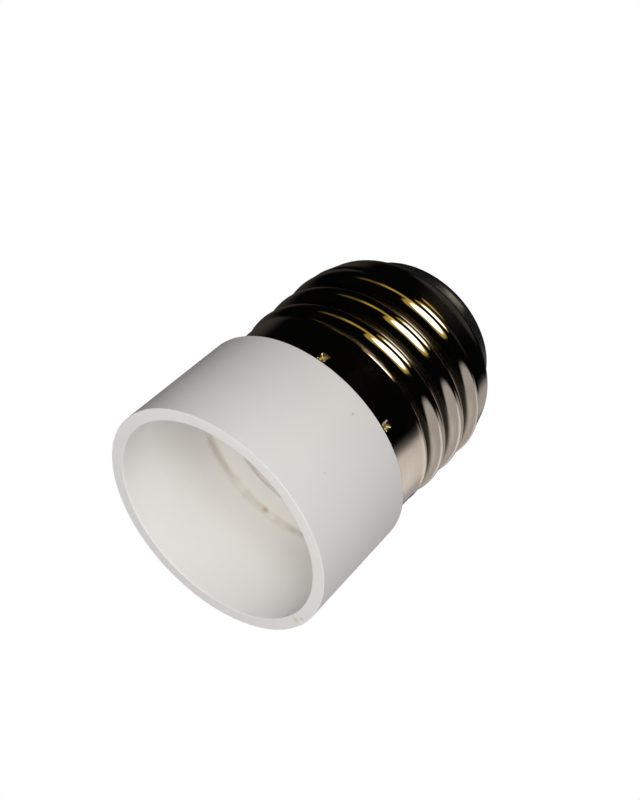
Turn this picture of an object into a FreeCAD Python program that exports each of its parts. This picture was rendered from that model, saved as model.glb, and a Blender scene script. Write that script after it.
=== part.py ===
"""Screw-base adapter: a large screw cap that carries a socket for a small screw lamp.

The mouth of the cup stands on z = 0 and the axis is Z, with the tip contact on top.
Every half-section is a sketch in the XZ plane: x is the radius and y is the height.
All lengths are in millimetres.
"""
import FreeCAD, Part
import math
import os

import Sketcher

SIZES = {
    # Cup of the moulded body
    "cup_bore_radius": 12.8,
    "cup_wall": 1.5,
    "cup_draft": 0.4,
    "cup_length": 14.8,
    "cup_floor_thickness": 1.2,
    "rim_chamfer": 0.3,
    # Recess in the cup's floor for the lip of the small screw shell
    "lip_recess_radius": 8.6,
    "lip_recess_depth": 0.6,
    # Barrel behind the floor, which holds the small screw shell
    "barrel_wall": 1.4,
    "barrel_floor_thickness": 1.4,
    "socket_depth": 16.4,
    "boss_radius": 3.0,
    "boss_rise": 0.8,
    # Seat ring under the collar of the large screw shell
    "seat_ring_height": 5.2,
    "seat_ring_wall": 1.65,
    "rib_count": 6,
    "rib_thickness": 1.2,
    "coring_floor_thickness": 1.4,
    "wall_overlap": 0.2,
    "lead_slot_width": 1.2,
    # Large screw shell, rolled from sheet
    "collar_radius": 12.8,
    "collar_height": 5.3,
    "large_crest_radius": 13.1,
    "large_thread_depth": 1.1,
    "large_pitch": 3.629,
    "first_crest_rise": 8.2,
    "large_crest_count": 3,
    "large_sheet_thickness": 0.35,
    "shoulder_radius": 12.5,
    "shoulder_bend_radius": 2.4,
    "shoulder_straight": 0.6,
    "turned_in_width": 0.6,
    # Stakes punched through the collar into the seat ring
    "stake_count": 8,
    "stake_rise": 1.5,
    "stake_size": 0.9,
    "stake_depth": 0.28,
    "stake_bump": 0.45,
    # Insulator in the end of the large screw shell
    "insulator_flange_overlap": 0.45,
    "insulator_flange_thickness": 1.4,
    "insulator_cone_height": 4.6,
    "insulator_bulge": 1.4,
    "insulator_nose_radius": 5.4,
    # Contact on the insulator and the pin through it
    "contact_radius": 4.8,
    "contact_edge_height": 0.55,
    "contact_dome_rise": 1.6,
    "contact_shank_radius": 1.6,
    "contact_bore_radius": 1.15,
    "clinch_radius": 2.3,
    "clinch_height": 0.45,
    "pin_head_radius": 1.9,
    "pin_head_height": 0.4,
    "pin_head_face_radius": 0.95,
    "pin_length": 6.2,
    "pin_point_length": 0.7,
    "pin_point_radius": 0.6,
    # Small screw shell, rolled from sheet
    "small_major_radius": 7.0,
    "small_sheet_thickness": 0.3,
    "small_step_radius": 6.4,
    "small_step_height": 3.4,
    "lip_radius": 8.0,
    "flange_bore_radius": 4.0,
    # Rivets
    "rivet_shank_radius": 0.55,
    "rivet_head_radius": 0.85,
    "rivet_head_face_radius": 0.5,
    "rivet_head_height": 0.5,
    "rivet_spread": 5.1,
    # Contact tongue
    "tongue_width": 3.4,
    "tongue_thickness": 0.3,
    "tongue_foot_reach": 2.6,
    "tongue_crest_reach": 1.4,
    "tongue_tip_reach": 2.3,
    "tongue_tip_curl": 0.4,
    "tongue_rise": 2.3,
    "tongue_fold_radius": 0.55,
    # Leads
    "side_lead_radius": 0.45,
    "side_lead_bend": 0.6,
    "centre_lead_radius": 0.36,
    "lead_overlap_length": 0.8,
    # Gaps between pieces that are fitted together
    "seat_gap": 0.1,
    "hole_gap": 0.05,
}

FULL_TURN = 360.0

doc = FreeCAD.newDocument("ScrewAdapter")
sheet = doc.addObject("Spreadsheet::Sheet", "Sizes")
for row, (name, size) in enumerate(SIZES.items(), start=1):
    sheet.set(f"A{row}", name)
    sheet.set(f"B{row}", str(size))
    sheet.setAlias(f"B{row}", name)
doc.recompute()

# Reading sums of sizes


def terms(total):
    """Split a sum such as 'cup_length - 0.5*large_pitch' into (factor, name) pairs."""
    pairs = []
    for piece in total.replace("-", "+-").split("+"):
        piece = piece.replace(" ", "")
        if not piece:
            continue
        sign = -1.0 if piece.startswith("-") else 1.0
        factor, star, name = piece.lstrip("-").rpartition("*")
        pairs.append((sign * (float(factor) if star else 1.0), name))
    return pairs


def value(total):
    """The length, in millimetres, that a sum of sizes stands for."""
    return sum(factor * (sheet.get(name) if name in SIZES else float(name)) for factor, name in terms(total))


def formula(total):
    """The same sum as an expression on the spreadsheet's cells."""
    parts = [f"{factor} * Sizes.{name}" if name in SIZES else f"{factor * float(name)}"
             for factor, name in terms(total)]
    return " + ".join(parts)


def flipped(total):
    """The sum with every sign changed."""
    return " + ".join(f"{-factor}*{name}" for factor, name in terms(total)).replace("+ -", "- ")


# Places that several pieces share

CUP_MOUTH_RADIUS = "cup_bore_radius + cup_wall"
CUP_REAR_RADIUS = f"{CUP_MOUTH_RADIUS} - cup_draft"
CUP_FLOOR = "cup_length - cup_floor_thickness"
LIP_SEAT = f"{CUP_FLOOR} + lip_recess_depth"
BARREL_FLOOR = f"{CUP_FLOOR} + socket_depth"
BARREL_END = f"{BARREL_FLOOR} + barrel_floor_thickness"
BOSS_FACE = f"{BARREL_FLOOR} - boss_rise"
SMALL_OUTER = "small_major_radius + small_sheet_thickness"
BARREL_BORE = f"{SMALL_OUTER} + seat_gap"
BARREL_OUTER = f"{BARREL_BORE} + barrel_wall"
CORING_FLOOR = "cup_length + coring_floor_thickness"
COLLAR_INSIDE = "collar_radius - large_sheet_thickness"
SEAT_RADIUS = f"{COLLAR_INSIDE} - seat_gap"
SEAT_INSIDE = f"{SEAT_RADIUS} - seat_ring_wall"
SEAT_TOP = "cup_length + seat_ring_height"
SHELL_START = "cup_length + seat_gap"
COLLAR_END = f"{SHELL_START} + collar_height"
ROOT_RADIUS = "large_crest_radius - large_thread_depth"
THREAD_INSIDE = f"{ROOT_RADIUS} - large_sheet_thickness"
STAKE_BASE = "cup_length + stake_rise - 0.5*stake_size"
RIVET_HOLE = "rivet_shank_radius + hole_gap"


def crest_height(index):
    """Height of crest number index of the large thread, a half number for the root after it."""
    return f"cup_length + first_crest_rise + {index}*large_pitch"


LAST_ROOT = crest_height(value("large_crest_count") - 0.5)
SHOULDER_START = f"{LAST_ROOT} + 0.5*large_pitch - 0.25*shoulder_bend_radius"
BEND_START = f"{SHOULDER_START} + shoulder_straight"
SHELL_END = f"{BEND_START} + shoulder_bend_radius"
CAP_INSIDE = f"{SHELL_END} - large_sheet_thickness"
CAP_OPENING_RADIUS = "shoulder_radius - shoulder_bend_radius - turned_in_width"
NOSE = f"{SHELL_END} + insulator_cone_height"
INSULATOR_BACK = f"{CAP_INSIDE} - seat_gap - insulator_flange_thickness"
CLINCH_END = f"{INSULATOR_BACK} - clinch_height"
CONTACT_EDGE = f"{NOSE} + contact_edge_height"
CONTACT_TOP = f"{CONTACT_EDGE} + contact_dome_rise"
RIVET_TAIL = f"{BARREL_END} + rivet_head_height"

# Sketches


def plane(body, role):
    """One of a body's own origin planes or axes."""
    return next(item for item in body.Origin.OriginFeatures if item.Role == role)


def new_body(name):
    """An empty body whose label names the piece."""
    body = doc.addObject("PartDesign::Body", name)
    body.Label = name
    return body


def new_sketch(body, name, role, base="0"):
    """An empty sketch on one of the body's planes, raised along its normal by a sum of sizes."""
    sketch = body.newObject("Sketcher::SketchObject", name)
    sketch.AttachmentSupport = (plane(body, role), [""])
    sketch.MapMode = "FlatFace"
    if base != "0":
        sketch.AttachmentOffset = FreeCAD.Placement(FreeCAD.Vector(0, 0, value(base)), FreeCAD.Rotation())
        sketch.setExpression("AttachmentOffset.Base.z", formula(base))
    return sketch


def bind(sketch, constraint, total):
    """Add a length constraint and tie it to a sum of sizes."""
    number = sketch.addConstraint(constraint)
    sketch.setExpression(f"Constraints[{number}]", formula(total))


def pin_down(sketch, edge, end, across, up):
    """Hold one end of an edge at (across, up), each a sum of sizes or zero."""
    for kind, total, axis in (("DistanceX", across, -2), ("DistanceY", up, -1)):
        length = value(total)
        if abs(length) < 1e-9:
            sketch.addConstraint(Sketcher.Constraint("PointOnObject", edge, end, axis))
        elif length < 0:
            bind(sketch, Sketcher.Constraint(kind, edge, end, -1, 1, -length), flipped(total))
        else:
            bind(sketch, Sketcher.Constraint(kind, edge, end, length), total)


def end_at(sketch, edge, spot):
    """Which end of an edge, 1 or 2, lies at a spot."""
    return min((1, 2), key=lambda end: (sketch.getPoint(edge, end) - spot).Length)


def draw(sketch, start, steps, closed=True):
    """Draw an outline from sums of sizes, with each corner held by the spreadsheet.

    A step of two sums is a straight edge to that corner. A step of four is an arc through
    the first pair to the second. A closed outline ends with a straight edge to its start.
    """
    corners = [start] + [step[-2:] for step in steps]
    spots = [FreeCAD.Vector(value(across), value(up), 0) for across, up in corners]
    middles = {}
    for number, step in enumerate(steps):
        if len(step) == 4:
            middle = FreeCAD.Vector(value(step[0]), value(step[1]), 0)
            edge = sketch.addGeometry(Part.Arc(spots[number], middle, spots[number + 1]), False)
            middles[edge] = (middle, step[:2])
        else:
            sketch.addGeometry(Part.LineSegment(spots[number], spots[number + 1]), False)
    if closed:
        sketch.addGeometry(Part.LineSegment(spots[-1], spots[0]), False)
    count = len(steps) + (1 if closed else 0)
    for number, (across, up) in enumerate(corners):
        edge = min(number, count - 1)
        here = end_at(sketch, edge, spots[number])
        pin_down(sketch, edge, here, across, up)
        if closed or 0 < number < count:
            before = (number - 1) % count
            there = end_at(sketch, before, spots[number])
            sketch.addConstraint(Sketcher.Constraint("Coincident", number, here, before, there))
    for edge, (middle, (across, up)) in middles.items():
        point = sketch.addGeometry(Part.Point(middle), True)
        pin_down(sketch, point, 1, across, up)
        sketch.addConstraint(Sketcher.Constraint("PointOnObject", point, 1, edge))
    return sketch


def draw_circle(sketch, radius, across="0", up="0"):
    """Draw a circle whose radius and centre are sums of sizes."""
    middle = FreeCAD.Vector(value(across), value(up), 0)
    edge = sketch.addGeometry(Part.Circle(middle, FreeCAD.Vector(0, 0, 1), value(radius)), False)
    pin_down(sketch, edge, 3, across, up)
    bind(sketch, Sketcher.Constraint("Radius", edge, value(radius)), radius)
    return sketch


# Features


def turned(name, start, steps):
    """A body turned about Z from its half-section."""
    body = new_body(name)
    turn = body.newObject("PartDesign::Revolution", f"{name}_turn")
    turn.Profile = draw(new_sketch(body, f"{name}_section", "XZ_Plane"), start, steps)
    turn.ReferenceAxis = (turn.Profile[0], ["V_Axis"])
    turn.Angle = FULL_TURN
    return body


def extruded(body, kind, name, sketch, length):
    """Pad or cut a sketch along its normal by a sum of sizes."""
    feature = body.newObject(kind, name)
    feature.Profile = sketch
    feature.Type = "Length"
    feature.Length = value(length)
    feature.setExpression("Length", formula(length))
    feature.Reversed = kind.endswith("Pocket")
    return feature


def drilled(body, name, radius, across, base, depth):
    """Cut a round hole along Z from a base height, centred on the X axis."""
    sketch = draw_circle(new_sketch(body, f"{name}_outline", "XY_Plane", base), radius, across)
    extruded(body, "PartDesign::Pocket", name, sketch, depth)


def block(body, kind, name, near, far, width, base, height, count=None):
    """Add or cut a block along X from near to far.

    With a count it is repeated evenly about Z, from half a step round.
    """
    sketch = new_sketch(body, f"{name}_outline", "XY_Plane", base)
    low, high = (" + ".join(f"{side * factor}*{size}" for factor, size in terms(width)).replace("+ -", "- ")
                 for side in (-0.5, 0.5))
    draw(sketch, (near, low), [(far, low), (far, high), (near, high)])
    feature = extruded(body, kind, name, sketch, height)
    if count:
        offset = sketch.AttachmentOffset
        offset.Rotation = FreeCAD.Rotation(FreeCAD.Vector(0, 0, 1), FULL_TURN / 2 / value(count))
        sketch.AttachmentOffset = offset
        sketch.setExpression("AttachmentOffset.Rotation.Angle", f"{FULL_TURN / 2}deg / Sizes.{count}")
        pattern = body.newObject("PartDesign::PolarPattern", f"{name}_circle")
        pattern.Originals = [feature]
        pattern.Axis = (plane(body, "Z_Axis"), [""])
        pattern.Angle = FULL_TURN
        pattern.Occurrences = int(value(count))
        pattern.setExpression("Occurrences", f"Sizes.{count}")
        body.Tip = pattern


def wire(name, radius, start, corners):
    """Round wire along straight runs in the XZ plane, mitred where they meet."""
    body = new_body(name)
    spine = draw(new_sketch(body, f"{name}_route", "XZ_Plane"), start, corners, closed=False)
    rising = corners[0][0] == start[0]
    section = new_sketch(body, f"{name}_section", "XY_Plane" if rising else "YZ_Plane",
                         start[1] if rising else start[0])
    if rising:
        draw_circle(section, radius, start[0], "0")
    else:
        draw_circle(section, radius, "0", start[1])
    pipe = body.newObject("PartDesign::AdditivePipe", f"{name}_pipe")
    pipe.Profile = section
    pipe.Spine = spine
    pipe.Transition = "Right corner"
    return body


# Moulded body: cup, barrel, seat ring and ribs in one piece


def cup_body():
    """White moulding: the cup in front and the stem that the large screw shell sits on."""
    body = turned("cup_body", ("cup_bore_radius", CUP_FLOOR), [
        ("cup_bore_radius", "0"),
        (f"{CUP_MOUTH_RADIUS} - rim_chamfer", "0"),
        (CUP_MOUTH_RADIUS, "rim_chamfer"),
        (CUP_REAR_RADIUS, "cup_length"),
        (SEAT_RADIUS, "cup_length"),
        (SEAT_RADIUS, SEAT_TOP),
        (SEAT_INSIDE, SEAT_TOP),
        (SEAT_INSIDE, CORING_FLOOR),
        (BARREL_OUTER, CORING_FLOOR),
        (BARREL_OUTER, BARREL_END),
        ("0", BARREL_END),
        ("0", BOSS_FACE),
        ("boss_radius", BOSS_FACE),
        ("boss_radius", BARREL_FLOOR),
        (BARREL_BORE, BARREL_FLOOR),
        (BARREL_BORE, LIP_SEAT),
        ("lip_recess_radius", LIP_SEAT),
        ("lip_recess_radius", CUP_FLOOR),
    ])
    block(body, "PartDesign::Pad", "rib", f"{BARREL_OUTER} - wall_overlap", f"{SEAT_INSIDE} + wall_overlap",
          "rib_thickness", f"{CORING_FLOOR} - wall_overlap", "seat_ring_height - coring_floor_thickness",
          count="rib_count")
    block(body, "PartDesign::Pocket", "lead_slot", f"{SEAT_INSIDE} - wall_overlap",
          f"{SEAT_RADIUS} + wall_overlap", "lead_slot_width", CORING_FLOOR, "seat_ring_height")
    block(body, "PartDesign::Pocket", "stake_pocket", f"{COLLAR_INSIDE} - stake_bump - hole_gap",
          f"{SEAT_RADIUS} + wall_overlap", "stake_size + 2*hole_gap",
          f"{STAKE_BASE} - hole_gap", "stake_size + 2*hole_gap", count="stake_count")
    for name, across in (("centre_hole", "0"), ("side_hole", "rivet_spread")):
        drilled(body, name, RIVET_HOLE, across, BOSS_FACE, "boss_rise + barrel_floor_thickness")
    return body


# Large screw shell


def shoulder_bend(steps, sheets):
    """Corners of the bend from the shoulder to the turned-in end, moved in by a number of sheets."""
    corners = []
    for step in range(steps + 1):
        across, up = math.cos(math.pi / 2 * step / steps), math.sin(math.pi / 2 * step / steps)
        corners.append((f"shoulder_radius - {1 - across:.4f}*shoulder_bend_radius"
                        f" - {across * sheets:.4f}*large_sheet_thickness",
                        f"{BEND_START} + {up:.4f}*shoulder_bend_radius"
                        f" - {up * sheets:.4f}*large_sheet_thickness"))
    return corners


def large_screw_shell():
    """Rolled sheet cap: plain staked collar, knuckle corrugations and an end turned in."""
    # Each corner of a knuckle is a share of the pitch from its crest and a share of the depth below it.
    knuckle = ((-0.27, 0.6), (-0.1, 0.0), (0.1, 0.0), (0.27, 0.6), (0.5, 1.0))
    outline = [("collar_radius", COLLAR_END), (ROOT_RADIUS, crest_height(-0.5))]
    for index in range(int(value("large_crest_count"))):
        for along, drop in knuckle:
            outline.append((f"large_crest_radius - {drop}*large_thread_depth", crest_height(index + along)))
    outline.append(("shoulder_radius", SHOULDER_START))
    body = turned("large_screw_shell", ("collar_radius", SHELL_START), outline + shoulder_bend(4, 0) + [
        (CAP_OPENING_RADIUS, SHELL_END),
        (CAP_OPENING_RADIUS, CAP_INSIDE),
    ] + shoulder_bend(2, 1)[::-1] + [
        ("shoulder_radius - large_sheet_thickness", SHOULDER_START),
        (THREAD_INSIDE, LAST_ROOT),
        (THREAD_INSIDE, crest_height(-0.5)),
        (COLLAR_INSIDE, COLLAR_END),
        (COLLAR_INSIDE, SHELL_START),
    ])
    block(body, "PartDesign::Pad", "stake_bump", f"{COLLAR_INSIDE} - stake_bump",
          f"{COLLAR_INSIDE} + 0.5*large_sheet_thickness", "stake_size", STAKE_BASE, "stake_size",
          count="stake_count")
    block(body, "PartDesign::Pocket", "stake_dent", "collar_radius - stake_depth",
          "collar_radius + wall_overlap", "stake_size", STAKE_BASE, "stake_size", count="stake_count")
    return body


# Small screw shell


def small_screw_shell():
    """Sheet socket: a lip round its mouth, a round wall, a step in and a riveted flange at the back."""
    lip_face = f"{LIP_SEAT} - small_sheet_thickness"
    flange_face = f"{BARREL_FLOOR} - small_sheet_thickness"
    step = f"{flange_face} - small_step_height"
    body = turned("small_screw_shell", ("small_major_radius", lip_face), [
        ("small_major_radius", step),
        ("small_step_radius", step),
        ("small_step_radius", flange_face),
        ("flange_bore_radius", flange_face),
        ("flange_bore_radius", BARREL_FLOOR),
        ("small_step_radius + small_sheet_thickness", BARREL_FLOOR),
        ("small_step_radius + small_sheet_thickness", f"{step} + small_sheet_thickness"),
        (SMALL_OUTER, f"{step} + small_sheet_thickness"),
        (SMALL_OUTER, LIP_SEAT),
        ("lip_radius", LIP_SEAT),
        ("lip_radius", lip_face),
    ])
    drilled(body, "flange_hole", RIVET_HOLE, "rivet_spread", flange_face, "small_sheet_thickness")
    return body


# Insulator, tip contact and its pin


def cap_insulator():
    """Bulging insulation that grips the turned-in end of the large shell from both sides."""
    flange = f"{CAP_OPENING_RADIUS} + insulator_flange_overlap"
    neck = f"{CAP_OPENING_RADIUS} - seat_gap"
    middle = "0.5*shoulder_radius - 0.5*shoulder_bend_radius - 0.5*turned_in_width + 0.5*insulator_nose_radius"
    hole = "contact_shank_radius + hole_gap"
    return turned("cap_insulator", (hole, INSULATOR_BACK), [
        (flange, INSULATOR_BACK),
        (flange, f"{CAP_INSIDE} - seat_gap"),
        (neck, f"{CAP_INSIDE} - seat_gap"),
        (neck, f"{SHELL_END} + seat_gap"),
        (flange, f"{SHELL_END} + seat_gap"),
        (f"{middle} + insulator_bulge", f"{SHELL_END} + 0.5*insulator_cone_height"),
        ("insulator_nose_radius", NOSE),
        (hole, NOSE),
    ])


def tip_contact():
    """Headed contact: a domed head on the insulator and a tubular shank clinched behind it."""
    # Share of the radius and of the rise at which the dome turns down to its edge.
    turn_down = 0.7
    return turned("tip_contact", ("contact_bore_radius", CLINCH_END), [
        ("clinch_radius", CLINCH_END),
        ("clinch_radius", INSULATOR_BACK),
        ("contact_shank_radius", INSULATOR_BACK),
        ("contact_shank_radius", NOSE),
        ("contact_radius", NOSE),
        ("contact_radius", CONTACT_EDGE),
        (f"{turn_down}*contact_radius", f"{CONTACT_EDGE} + {turn_down}*contact_dome_rise"),
        ("contact_shank_radius", CONTACT_TOP),
        ("contact_bore_radius", CONTACT_TOP),
    ])


def contact_pin():
    """Headed pin that holds the stripped lead in the contact's shank."""
    shank = "contact_bore_radius - hole_gap"
    return turned("contact_pin", ("0", f"{CONTACT_TOP} - pin_length"), [
        ("pin_point_radius", f"{CONTACT_TOP} - pin_length"),
        (shank, f"{CONTACT_TOP} - pin_length + pin_point_length"),
        (shank, CONTACT_TOP),
        ("pin_head_radius", CONTACT_TOP),
        ("pin_head_face_radius", f"{CONTACT_TOP} + pin_head_height"),
        ("0", f"{CONTACT_TOP} + pin_head_height"),
    ])


# Rivets


def rivet(name, across, head_face):
    """Solid rivet along Z through the barrel's floor, with its head towards the mouth."""
    body = turned(name, ("0", f"{head_face} - rivet_head_height"), [
        ("rivet_head_face_radius", f"{head_face} - rivet_head_height"),
        ("rivet_head_radius", head_face),
        ("rivet_shank_radius", head_face),
        ("rivet_shank_radius", BARREL_END),
        ("rivet_head_radius", BARREL_END),
        ("rivet_head_face_radius", RIVET_TAIL),
        ("0", RIVET_TAIL),
    ])
    body.Placement = FreeCAD.Placement(FreeCAD.Vector(value(across), 0, 0), FreeCAD.Rotation())
    body.setExpression("Placement.Base.x", formula(across))
    return body


# Contact tongue


def contact_tongue():
    """Springy strip: a riveted foot, a fold and a tongue that rises to meet the lamp."""
    body = new_body("contact_tongue")
    thick = "tongue_thickness"
    fold_start = "-1*tongue_foot_reach + tongue_fold_radius"
    fold_middle = f"{BOSS_FACE} - {thick} - tongue_fold_radius"
    fold_end = f"{fold_middle} - tongue_fold_radius - {thick}"
    crest = f"{BOSS_FACE} - tongue_rise"
    side = draw(new_sketch(body, "tongue_side", "XZ_Plane"), ("tongue_foot_reach", BOSS_FACE), [
        (fold_start, BOSS_FACE),
        (f"-1*tongue_foot_reach - {thick}", fold_middle, fold_start, fold_end),
        ("tongue_crest_reach", crest),
        ("tongue_tip_reach", f"{crest} + tongue_tip_curl"),
        ("tongue_tip_reach", f"{crest} + tongue_tip_curl + {thick}"),
        ("tongue_crest_reach", f"{crest} + {thick}"),
        (fold_start, f"{fold_end} + {thick}"),
        ("-1*tongue_foot_reach", fold_middle, fold_start, f"{BOSS_FACE} - {thick}"),
        ("tongue_foot_reach", f"{BOSS_FACE} - {thick}"),
    ])
    strip = extruded(body, "PartDesign::Pad", "tongue_strip", side, "tongue_width")
    strip.SideType = "Symmetric"
    drilled(body, "tongue_hole", RIVET_HOLE, "0", f"{BOSS_FACE} - {thick}", thick)
    return body


# Leads


def side_lead():
    """Lead from the small shell's rivet past the barrel and through the slot under the collar."""
    level = f"{RIVET_TAIL} - rivet_head_height + side_lead_radius + hole_gap"
    down = f"{BARREL_OUTER} + side_lead_bend + 0.5*side_lead_radius + hole_gap"
    trapped = f"{COLLAR_INSIDE} - hole_gap - side_lead_radius"
    return wire("side_lead", "side_lead_radius", ("rivet_spread + rivet_head_radius + hole_gap", level), [
        (f"{down} - side_lead_bend", level),
        (down, f"{level} - side_lead_bend"),
        (down, f"{SEAT_TOP} + 2*side_lead_radius"),
        (trapped, f"{SEAT_TOP} - side_lead_radius"),
        (trapped, f"{CORING_FLOOR} + lead_overlap_length"),
    ])


def centre_lead():
    """Bare lead from the tongue's rivet straight up into the tip contact's shank."""
    return wire("centre_lead", "centre_lead_radius", ("0", RIVET_TAIL), [
        ("0", f"{CLINCH_END} + lead_overlap_length"),
    ])


pieces = [
    cup_body(),
    large_screw_shell(),
    small_screw_shell(),
    cap_insulator(),
    tip_contact(),
    contact_pin(),
    rivet("shell_rivet", "rivet_spread", f"{BARREL_FLOOR} - small_sheet_thickness"),
    rivet("contact_rivet", "0", f"{BOSS_FACE} - tongue_thickness"),
    contact_tongue(),
    side_lead(),
    centre_lead(),
]
doc.recompute()

# Checks, then one file for each piece

for item in doc.Objects:
    if "Invalid" in item.State or "Error" in item.State:
        raise RuntimeError(f"{item.Label} is not built: {item.State}")
for piece in pieces:
    if piece.Shape.isNull() or not piece.Shape.isValid():
        raise RuntimeError(f"{piece.Label} has no valid shape")

os.makedirs("parts", exist_ok=True)
for piece in pieces:
    piece.Shape.exportStep(f"parts/{piece.Label}.step")
    box = piece.Shape.BoundBox
    print(f"{piece.Label}: {len(piece.Shape.Solids)} solid, {piece.Shape.Volume:.1f} cubic mm, "
          f"height {box.ZMin:.2f} to {box.ZMax:.2f}, radius {box.XMax:.2f}")
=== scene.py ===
# %% [markdown]
# # Lamp socket adapter
#
# This adapter lets a lamp with the small screw cap work in a lampholder made for the large one. It is a white
# moulding, with a cup at the mouth and a barrel behind it, a rolled metal screw cap over the barrel, and a
# contact at the far end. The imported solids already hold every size. This script gives them what a camera
# sees: true screw threads, softened edges, satin plastic and bright plate.
#
# One frame serves everything. The mouth of the cup stands on z = 0, the axis is Z, and -Y faces the viewer.

# %% The frame that every piece stands in
import math

import bpy
import numpy as np
from mathutils import Matrix, Vector


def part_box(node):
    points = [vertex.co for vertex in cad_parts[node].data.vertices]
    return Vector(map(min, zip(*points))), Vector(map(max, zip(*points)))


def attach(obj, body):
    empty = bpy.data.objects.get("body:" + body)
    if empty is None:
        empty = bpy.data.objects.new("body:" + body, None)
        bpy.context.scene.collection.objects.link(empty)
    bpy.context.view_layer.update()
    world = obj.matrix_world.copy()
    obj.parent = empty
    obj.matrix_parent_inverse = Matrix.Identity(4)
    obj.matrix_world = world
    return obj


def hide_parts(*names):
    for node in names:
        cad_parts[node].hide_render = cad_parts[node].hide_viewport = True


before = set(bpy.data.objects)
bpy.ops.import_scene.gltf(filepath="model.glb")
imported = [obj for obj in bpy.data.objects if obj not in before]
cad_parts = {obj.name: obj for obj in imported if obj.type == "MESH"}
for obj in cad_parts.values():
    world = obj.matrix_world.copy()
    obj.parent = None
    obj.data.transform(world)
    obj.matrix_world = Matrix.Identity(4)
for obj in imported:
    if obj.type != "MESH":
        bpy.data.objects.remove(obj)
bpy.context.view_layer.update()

print("nodes in the frame:", sorted(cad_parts))

# %% [markdown]
# ## Sizes
#
# The solids are measured in metres, and a maker of lamp parts thinks in millimetres. So the sizes below are
# in millimetres, and each mesh is turned into metres at the very end. What can be read from the frame is read
# from it: the outer sizes of a node are the corners of its box. Only the details inside a box need a number
# of their own.

# %% Sizes in millimetres
MM = 0.001


def widest(node):
    """Largest distance from the axis to a side of a node's box, in millimetres."""
    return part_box(node)[1][0] / MM


def foot(node):
    """Lowest height of a node, in millimetres."""
    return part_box(node)[0][2] / MM


def top(node):
    """Greatest height of a node, in millimetres."""
    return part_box(node)[1][2] / MM


CUP_MOUTH_RADIUS = widest("cup_body")
CUP_REAR_RADIUS = CUP_MOUTH_RADIUS - 0.4
CUP_BORE_RADIUS = CUP_MOUTH_RADIUS - 1.5
CUP_LENGTH = foot("large_screw_shell") - 0.1
CUP_FLOOR = CUP_LENGTH - 1.2
BARREL_END = top("cup_body")
print(f"cup {CUP_MOUTH_RADIUS:.2f} mm in radius and {CUP_LENGTH:.2f} mm long, barrel to {BARREL_END:.2f} mm")

# %% [markdown]
# ## Camera
#
# The view comes first. The adapter was seen lying on its side, from a hand's breadth above. In this frame
# that is the same as looking up at it from below the surface it stands on. The camera's three directions were
# found by fitting the ellipses of the rim and of the collar. A long lens at this distance gives the slight
# narrowing towards the cap.

# %% Camera
CAMERA_PLACE = Vector((0.0, -0.17116, -0.10387))
CAMERA_RIGHT = Vector((0.68078, -0.42624, 0.5958)).normalized()
CAMERA_BACK = Vector((0.00936, -0.80815, -0.5889)).normalized()
CAMERA_UP = CAMERA_BACK.cross(CAMERA_RIGHT).normalized()
LENS_MM = 85.22
SENSOR_MM = 36.0


def make_camera():
    """A camera whose three axes are the columns of its turn."""
    data = bpy.data.cameras.new("camera")
    data.lens = LENS_MM
    data.sensor_width = SENSOR_MM
    camera = bpy.data.objects.new("camera", data)
    turn = Matrix((CAMERA_UP.cross(CAMERA_BACK), CAMERA_UP, CAMERA_BACK)).transposed()
    camera.matrix_world = Matrix.Translation(CAMERA_PLACE) @ turn.to_4x4()
    bpy.context.collection.objects.link(camera)
    bpy.context.scene.camera = camera


make_camera()
bpy.context.scene.view_settings.view_transform = "Standard"
print("camera is", round(CAMERA_PLACE.length / MM), "mm from the mouth of the cup")

# %% [markdown]
# ## Surfaces from rings
#
# Every piece of this adapter was turned, rolled or moulded round one axis. So each one is built from rings:
# circles of points, one above the other, that are joined by quads. A lathe does the same with its cutting
# path. The rings could come from a Screw modifier, but then a thread that winds round could not change its
# radius from column to column. A plain grid of numbers can, and numpy works the whole grid out at once.

# %% Rings of points and the skin over them
def rings_of(radius, height, angle):
    """Points at a radius and a height. The angle is counted from -Y towards +X."""
    radius, height, angle = np.broadcast_arrays(radius, height, angle)
    return np.stack([radius * np.sin(angle), -radius * np.cos(angle), height], axis=-1)


def columns(count):
    """Evenly spaced angles of a full turn, from -180 degrees."""
    return -np.pi + 2 * np.pi * np.arange(count) / count


def ring_faces(rings, across, first):
    """Quads that join each ring to the next one, where first is the number of the first point."""
    ring = first + across * np.arange(rings - 1)[:, None]
    here = np.arange(across)[None, :]
    there = (here + 1) % across
    corners = [ring + here, ring + there, ring + across + there, ring + across + here]
    return np.stack(corners, axis=-1).reshape(-1, 4)


def signed_volume(points, quads, fans):
    """Volume inside a skin: the sum of its tetrahedra to the origin, below zero for faces turned inwards."""
    corners = np.vstack([quads[:, [0, 1, 2]], quads[:, [0, 2, 3]], fans])
    a, b, c = (points[corners[:, side]] for side in range(3))
    return np.einsum("ij,ij->i", a, np.cross(b, c)).sum() / 6


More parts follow.
